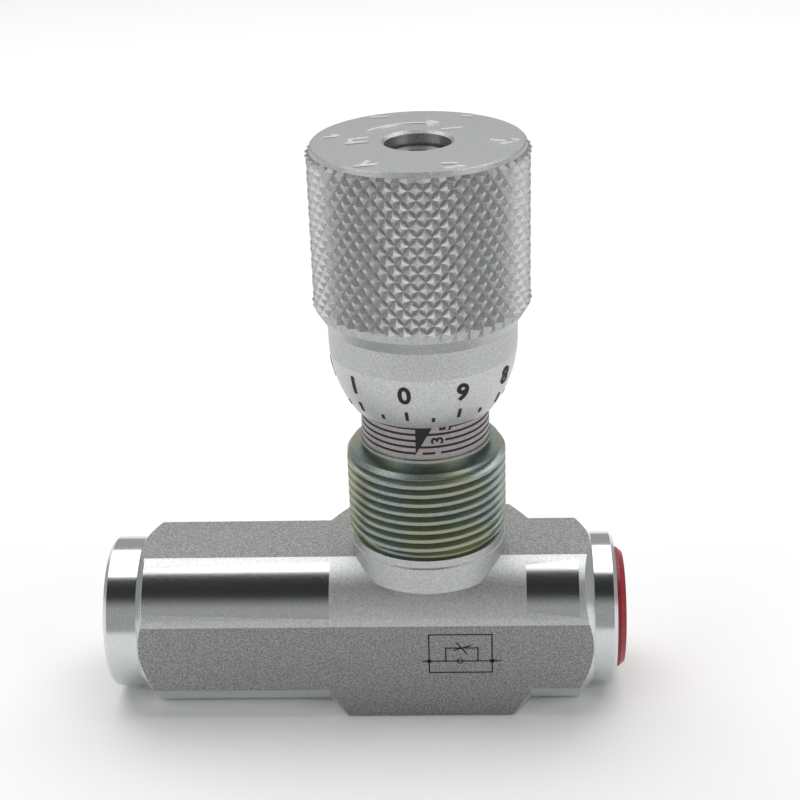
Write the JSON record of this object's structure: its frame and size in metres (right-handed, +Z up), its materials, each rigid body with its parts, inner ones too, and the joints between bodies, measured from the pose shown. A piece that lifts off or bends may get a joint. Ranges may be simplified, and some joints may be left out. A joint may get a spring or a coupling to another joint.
{
  "type": "flow control valve",
  "caption": "In-line hydraulic flow control valve with a built-in check valve, a threaded panel neck and a knurled dial knob.",
  "frame": {"origin": "on the flat base face of the body, under the axis of spindle and neck", "axes": "+Z up along the spindle axis to the knob, X along the port axis with the long arm towards -X, +Y to the back"},
  "size_m": [0.0802, 0.032, 0.0884],
  "materials": {
    "zinc_plated_steel": "zinc plated, grainy faces and bright turned lands",
    "silver_knob": "satin die-cast",
    "anodised_sleeve": "matte anodised",
    "turned_steel": "turned",
    "spring_steel": "drawn wire",
    "brass": "turned",
    "nitrile_rubber": "matte moulded",
    "backup_plastic": "matte",
    "red_plastic": "satin moulded"
  },
  "bodies": {
    "body": {"valve_body": "zinc_plated_steel", "throttle_seat": "brass", "seat_oring": "nitrile_rubber", "check_seat": "turned_steel", "check_spring": "spring_steel", "spring_retainer": "turned_steel", "retaining_ring": "spring_steel", "bonnet": "zinc_plated_steel", "bonnet_oring": "nitrile_rubber", "bonnet_backup_ring": "backup_plastic", "scale_sleeve": "anodised_sleeve", "wiper_ring": "nitrile_rubber", "friction_ring": "nitrile_rubber"},
    "check_valve": {"check_poppet": "turned_steel"},
    "plug": {"port_plug": "red_plastic"},
    "needle_carrier": {"needle": "turned_steel", "needle_clip": "spring_steel"},
    "knob_set": {"knob": "silver_knob", "knob_washer": "turned_steel", "knob_screw": "turned_steel", "spindle": "turned_steel", "spindle_oring": "nitrile_rubber", "spindle_backup_ring": "backup_plastic"}
  },
  "joints": [
    {"name": "spindle_lift", "type": "slide", "parent": "body", "child": "needle_carrier", "axis": [0, 0, 1], "range_m": [-0.00498, 0.003]},
    {"name": "knob_turn", "type": "hinge", "parent": "needle_carrier", "child": "knob_set", "pos_m": [0, 0, 0.07], "axis": [0, 0, 1], "range_deg": [-1792.8, 1080]},
    {"name": "check_travel", "type": "slide", "parent": "body", "child": "check_valve", "axis": [-1, 0, 0], "range_m": [0, 0.003], "stiffness_N_per_m": 300, "springref_m": -0.003, "deforming": ["check_spring"]},
    {"name": "plug_pull", "type": "slide", "parent": "body", "child": "plug", "axis": [1, 0, 0], "range_m": [0, 0.012]}
  ],
  "couplings": [
    {"joint": "spindle_lift", "follows": "knob_turn", "m_per_rad": 0.00015915}
  ]
}
